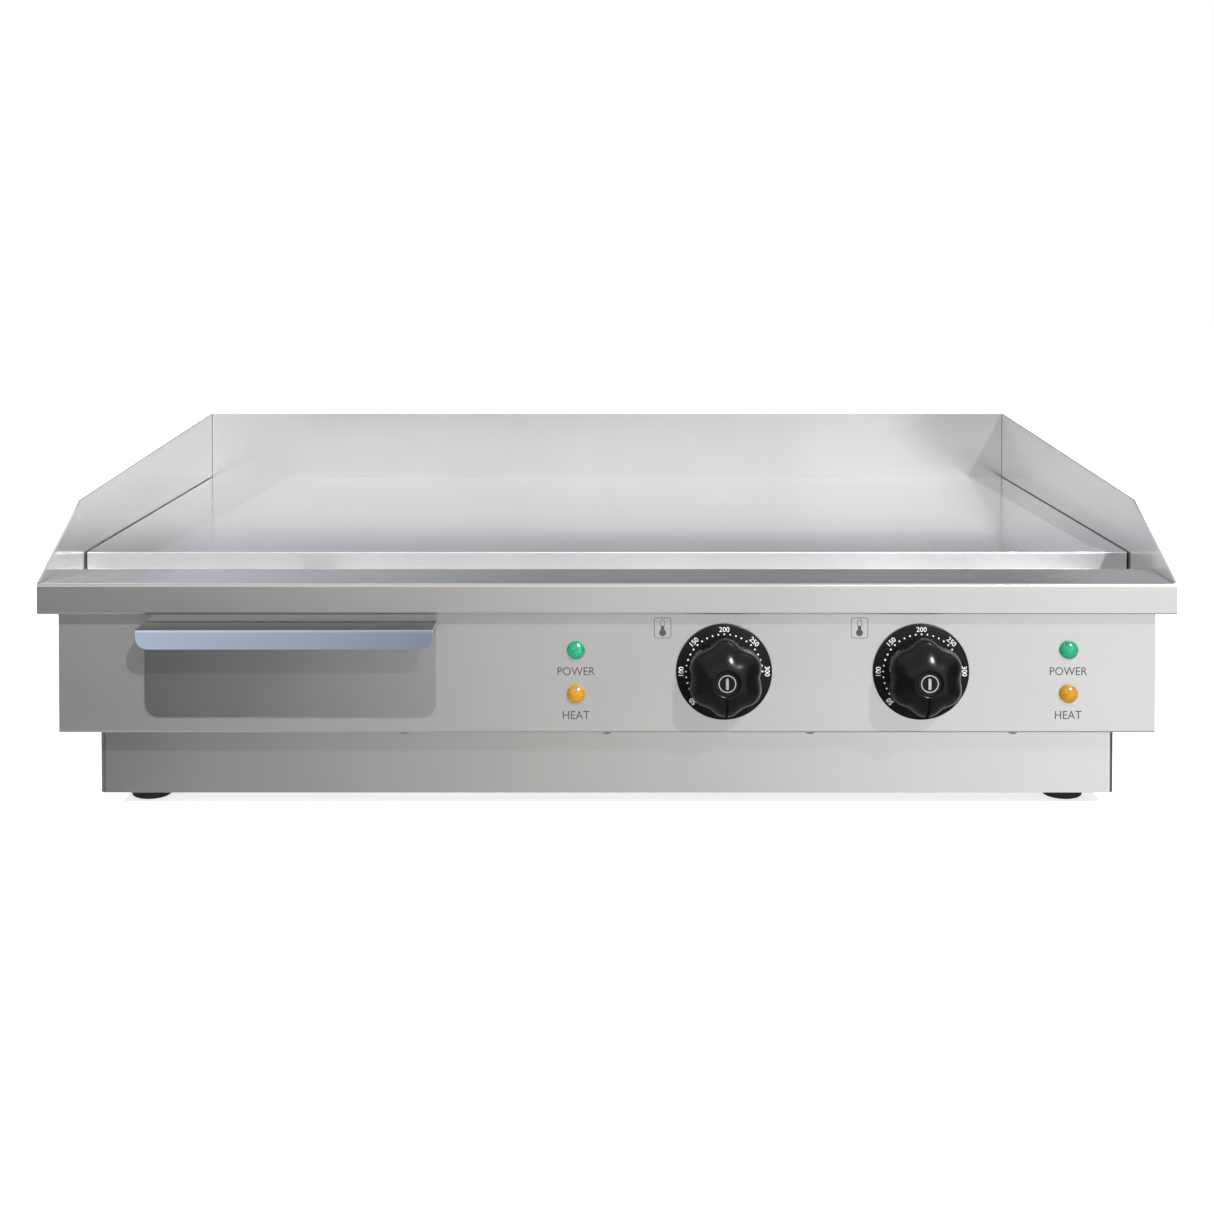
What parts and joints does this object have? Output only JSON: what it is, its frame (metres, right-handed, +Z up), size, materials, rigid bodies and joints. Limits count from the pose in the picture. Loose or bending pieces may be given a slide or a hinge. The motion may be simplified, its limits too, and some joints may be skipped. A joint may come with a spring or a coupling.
{
  "type": "flat top griddle",
  "caption": "Countertop electric griddle: flat steel cooking plate in a three-sided splash guard, front grease trough over a pull-out drawer, rotary thermostats and pilot lamps.",
  "frame": {"origin": "middle of the bounding box's footprint, on the worktop under the feet", "axes": "+X to the right seen from the front, +Y towards the back, +Z up"},
  "size_m": [0.73, 0.5276, 0.2138],
  "materials": {
    "plate_steel": "ground and polished carbon steel plate",
    "body_steel": "satin stainless sheet",
    "drawer_steel": "satin stainless sheet",
    "emblem_chrome": "bright metal print",
    "knob_black": "moulded glossy black",
    "dial_black": "satin black with white print",
    "lens_green": "clear tinted lens",
    "lens_amber": "clear tinted lens",
    "zinc_steel": "zinc-plated",
    "foot_rubber": "matt black rubber",
    "bright_steel": "bright",
    "heater_steel": "heat-tinted sheath",
    "grey_plastic": "moulded",
    "white_ceramic": "glazed",
    "mineral_board": "pressed mineral fibre",
    "gland_plastic": "moulded nylon"
  },
  "bodies": {
    "root": {"base_casing": "body_steel", "base_frame": "body_steel", "cabinet_floor": "zinc_steel", "cabinet_shell": "body_steel", "cable_gland": "gland_plastic", "clamp_nut_1": "zinc_steel", "clamp_nut_2": "zinc_steel", "clamp_nut_3": "zinc_steel", "clamp_nut_4": "zinc_steel", "control_panel": "body_steel", "dial_plate_left": "dial_black", "dial_plate_right": "dial_black", "drain_spout": "bright_steel", "drawer_rail_left": "zinc_steel", "drawer_rail_right": "zinc_steel", "earth_bolt": "bright_steel", "foot_front_left": "foot_rubber", "foot_front_right": "foot_rubber", "foot_rear_left": "foot_rubber", "foot_rear_right": "foot_rubber", "foot_screw_front_left": "zinc_steel", "foot_screw_front_right": "zinc_steel", "foot_screw_rear_left": "zinc_steel", "foot_screw_rear_right": "zinc_steel", "front_deck": "body_steel", "griddle_plate": "plate_steel", "heat_lamp_left": "grey_plastic", "heat_lamp_right": "grey_plastic", "heat_lens_left": "lens_amber", "heat_lens_right": "lens_amber", "heat_shield": "zinc_steel", "heater_clamp_front": "zinc_steel", "heater_clamp_rear": "zinc_steel", "heater_left": "heater_steel", "heater_right": "heater_steel", "insulation_board": "mineral_board", "panel_screw_1": "bright_steel", "panel_screw_2": "bright_steel", "panel_screw_3": "bright_steel", "panel_screw_4": "bright_steel", "panel_screw_5": "bright_steel", "power_lamp_left": "grey_plastic", "power_lamp_right": "grey_plastic", "power_lens_left": "lens_green", "power_lens_right": "lens_green", "sensor_left": "bright_steel", "sensor_right": "bright_steel", "splash_guard": "body_steel", "terminal_block": "white_ceramic", "thermal_cutout": "white_ceramic", "thermostat_left": "grey_plastic", "thermostat_right": "grey_plastic"},
    "knob_left": {"knob_left": "knob_black", "knob_emblem_left": "emblem_chrome", "thermostat_shaft_left": "bright_steel"},
    "knob_right": {"knob_right": "knob_black", "knob_emblem_right": "emblem_chrome", "thermostat_shaft_right": "bright_steel"},
    "drawer": {"drawer_tray": "drawer_steel", "drawer_front": "drawer_steel"}
  },
  "joints": [
    {"name": "knob_left_turn", "type": "hinge", "parent": "root", "child": "knob_left", "pos_m": [0.0756, -0.2634, 0.0945], "axis": [0, 1, 0], "range_deg": [0, 275]},
    {"name": "knob_right_turn", "type": "hinge", "parent": "root", "child": "knob_right", "pos_m": [0.2028, -0.2634, 0.0945], "axis": [0, 1, 0], "range_deg": [0, 275]},
    {"name": "drawer_slide", "type": "slide", "parent": "root", "child": "drawer", "axis": [0, -1, 0], "range_m": [0, 0.28]}
  ]
}
